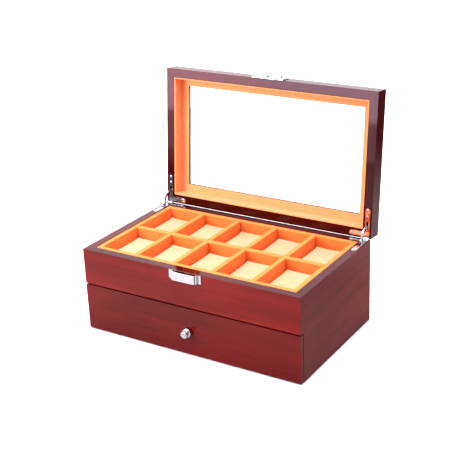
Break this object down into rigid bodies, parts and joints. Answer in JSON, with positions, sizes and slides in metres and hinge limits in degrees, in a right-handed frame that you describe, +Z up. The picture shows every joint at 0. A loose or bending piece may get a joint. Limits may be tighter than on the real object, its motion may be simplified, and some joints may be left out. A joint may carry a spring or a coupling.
{
  "type": "watch box",
  "caption": "Two-tier wooden watch box with a hinged glass lid, a velvet tray of compartments with pillows, a drawer below, a push-button catch and stayed hinges.",
  "frame": {"origin": "centre of the resting face, the underside of the base felt", "axes": "+X to the right, -Y out of the front, +Z up"},
  "size_m": [0.34, 0.2615, 0.3309],
  "materials": {
    "mahogany": "glossy red-brown lacquer over straight grain",
    "inner_wood": "thin satin stain",
    "lining_velvet": "short-pile apricot velvet over board",
    "pillow_velvet": "short-pile apricot velvet over foam",
    "chrome": "bright chrome plate",
    "steel": "plain bright steel",
    "window_glass": "clear float glass",
    "base_felt": "dark pressed felt"
  },
  "bodies": {
    "case": {"case_side_left": "mahogany", "case_side_right": "mahogany", "case_back": "mahogany", "case_front_rail": "mahogany", "case_base": "inner_wood", "case_deck": "inner_wood", "base_felt": "base_felt", "tray_floor": "lining_velvet", "tray_liner_front": "lining_velvet", "tray_liner_right": "lining_velvet", "tray_liner_back": "lining_velvet", "tray_liner_left": "lining_velvet", "tray_divider_long": "lining_velvet", "tray_divider_cross_1": "lining_velvet", "tray_divider_cross_2": "lining_velvet", "tray_divider_cross_3": "lining_velvet", "tray_divider_cross_4": "lining_velvet", "latch_housing": "chrome", "latch_spring": "steel", "hinge_case_leaf_left": "chrome", "hinge_case_leaf_right": "chrome", "hinge_pin_left": "steel", "hinge_pin_right": "steel"},
    "lid": {"lid_rail_front": "mahogany", "lid_rail_right": "mahogany", "lid_rail_back": "mahogany", "lid_rail_left": "mahogany", "lid_lining_front": "lining_velvet", "lid_lining_right": "lining_velvet", "lid_lining_back": "lining_velvet", "lid_lining_left": "lining_velvet", "lid_glass": "window_glass", "lid_catch": "chrome", "hinge_lid_leaf_left": "chrome", "hinge_lid_leaf_right": "chrome"},
    "stay_left": {"lid_stay_left": "chrome"},
    "stay_right": {"lid_stay_right": "chrome"},
    "drawer": {"drawer_front": "mahogany", "drawer_side_left": "inner_wood", "drawer_side_right": "inner_wood", "drawer_back": "inner_wood", "drawer_floor": "inner_wood", "drawer_pad": "lining_velvet", "drawer_divider_long": "lining_velvet", "drawer_divider_cross_1": "lining_velvet", "drawer_divider_cross_2": "lining_velvet", "drawer_knob": "chrome", "knob_screw": "steel"},
    "latch_button": {"latch_button": "chrome"},
    "pillow_front_1": {"pillow_front_1": "pillow_velvet"},
    "pillow_front_2": {"pillow_front_2": "pillow_velvet"},
    "pillow_front_3": {"pillow_front_3": "pillow_velvet"},
    "pillow_front_4": {"pillow_front_4": "pillow_velvet"},
    "pillow_front_5": {"pillow_front_5": "pillow_velvet"},
    "pillow_back_1": {"pillow_back_1": "pillow_velvet"},
    "pillow_back_2": {"pillow_back_2": "pillow_velvet"},
    "pillow_back_3": {"pillow_back_3": "pillow_velvet"},
    "pillow_back_4": {"pillow_back_4": "pillow_velvet"},
    "pillow_back_5": {"pillow_back_5": "pillow_velvet"}
  },
  "joints": [
    {"name": "lid_hinge", "type": "hinge", "parent": "case", "child": "lid", "pos_m": [0, 0.10265, 0.12315], "axis": [-1, 0, 0], "range_deg": [-95.4, 0]},
    {"name": "stay_left_pivot", "type": "hinge", "parent": "lid", "child": "stay_left", "pos_m": [-0.16375, 0.10789, 0.13985], "axis": [-1, 0, 0], "range_deg": [0, 28.7]},
    {"name": "stay_right_pivot", "type": "hinge", "parent": "lid", "child": "stay_right", "pos_m": [0.16375, 0.10789, 0.13985], "axis": [-1, 0, 0], "range_deg": [0, 28.7]},
    {"name": "drawer_slide", "type": "slide", "parent": "case", "child": "drawer", "axis": [0, -1, 0], "range_m": [0, 0.15]},
    {"name": "latch_press", "type": "slide", "parent": "case", "child": "latch_button", "axis": [0, 1, 0], "range_m": [0, 0.001], "stiffness_N_per_m": 400, "springref_m": -0.003},
    {"name": "pillow_front_1_lift", "type": "slide", "parent": "case", "child": "pillow_front_1", "axis": [0, 0, 1], "range_m": [0, 0.05]},
    {"name": "pillow_front_2_lift", "type": "slide", "parent": "case", "child": "pillow_front_2", "axis": [0, 0, 1], "range_m": [0, 0.05]},
    {"name": "pillow_front_3_lift", "type": "slide", "parent": "case", "child": "pillow_front_3", "axis": [0, 0, 1], "range_m": [0, 0.05]},
    {"name": "pillow_front_4_lift", "type": "slide", "parent": "case", "child": "pillow_front_4", "axis": [0, 0, 1], "range_m": [0, 0.05]},
    {"name": "pillow_front_5_lift", "type": "slide", "parent": "case", "child": "pillow_front_5", "axis": [0, 0, 1], "range_m": [0, 0.05]},
    {"name": "pillow_back_1_lift", "type": "slide", "parent": "case", "child": "pillow_back_1", "axis": [0, 0, 1], "range_m": [0, 0.05]},
    {"name": "pillow_back_2_lift", "type": "slide", "parent": "case", "child": "pillow_back_2", "axis": [0, 0, 1], "range_m": [0, 0.05]},
    {"name": "pillow_back_3_lift", "type": "slide", "parent": "case", "child": "pillow_back_3", "axis": [0, 0, 1], "range_m": [0, 0.05]},
    {"name": "pillow_back_4_lift", "type": "slide", "parent": "case", "child": "pillow_back_4", "axis": [0, 0, 1], "range_m": [0, 0.05]},
    {"name": "pillow_back_5_lift", "type": "slide", "parent": "case", "child": "pillow_back_5", "axis": [0, 0, 1], "range_m": [0, 0.05]}
  ],
  "couplings": [
    {"joint": "stay_left_pivot", "follows": "lid_hinge", "ratio": -0.3},
    {"joint": "stay_right_pivot", "follows": "lid_hinge", "ratio": -0.3}
  ]
}
